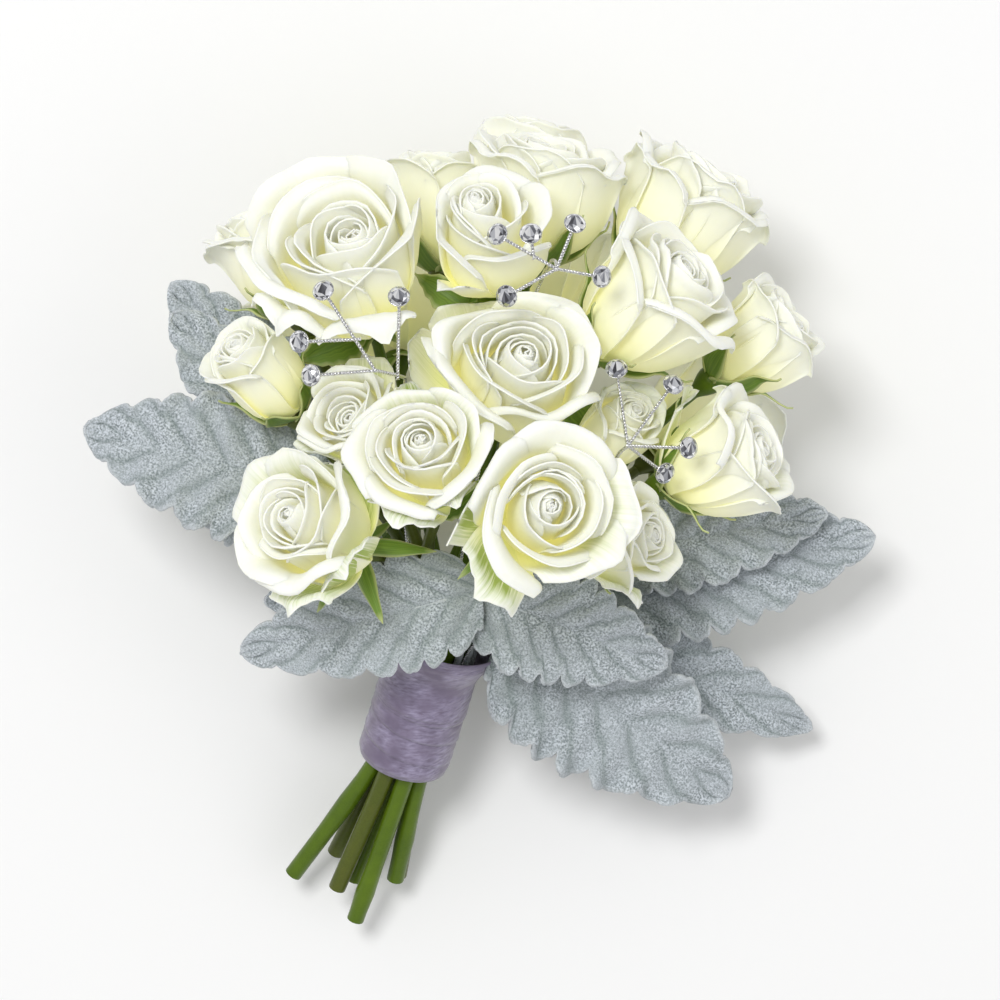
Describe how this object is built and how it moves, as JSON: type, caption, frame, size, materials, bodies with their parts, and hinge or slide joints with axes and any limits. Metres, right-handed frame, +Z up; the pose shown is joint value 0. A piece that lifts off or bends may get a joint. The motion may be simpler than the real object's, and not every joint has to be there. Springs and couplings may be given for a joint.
{
  "type": "rose bouquet",
  "caption": "Hand-tied bouquet of white roses with silver leaves and jewelled wire sprays, bound with a satin ribbon and lying on its side.",
  "frame": {"origin": "middle of the bouquet's box, on the table that it lies on", "axes": "+Y along the bouquet from the cut stems to the blooms, +X to the right seen from above, +Z up"},
  "size_m": [0.2406, 0.261, 0.1564],
  "materials": {
    "petal": "soft matt petal, cream white with a yellow heart",
    "stem": "fresh green, slightly waxy",
    "leaf": "silver felt",
    "silver": "bright twisted wire with clear cut stones in silver cups",
    "tape": "green crepe floral tape",
    "ribbon": "mauve satin"
  },
  "bodies": {
    "root": {"rose_01": "petal", "rose_02": "petal", "rose_03": "petal", "rose_04": "petal", "rose_05": "petal", "rose_06": "petal", "rose_07": "petal", "rose_08": "petal", "rose_09": "petal", "rose_10": "petal", "rose_11": "petal", "rose_12": "petal", "rose_13": "petal", "rose_14": "petal", "rose_15": "petal", "rose_16": "petal", "rose_17": "petal", "rose_18": "petal", "rose_19": "petal", "rose_20": "petal", "rose_21": "petal", "rose_22": "petal", "rose_23": "petal", "rose_24": "petal", "rose_25": "petal", "spray_middle": "stem", "spray_right": "stem", "spray_upper_right": "stem", "spray_upper_left": "stem", "spray_left": "stem", "stem_large_rose": "stem", "spray_lower_left": "stem", "spray_lower_right": "stem", "leaf_left": "leaf", "leaf_left_upper": "leaf", "leaf_left_far": "leaf", "leaf_front_left": "leaf", "leaf_front_right": "leaf", "leaf_right_low": "leaf", "leaf_right_upper": "leaf", "leaf_right": "leaf", "leaf_right_far": "leaf", "leaf_under_right": "leaf", "leaf_under_left": "leaf", "leaf_under_far_left": "leaf", "jewel_spray_left": "silver", "jewel_spray_middle": "silver", "jewel_spray_right": "silver", "binding_tape": "tape", "ribbon": "ribbon"}
  },
  "joints": []
}
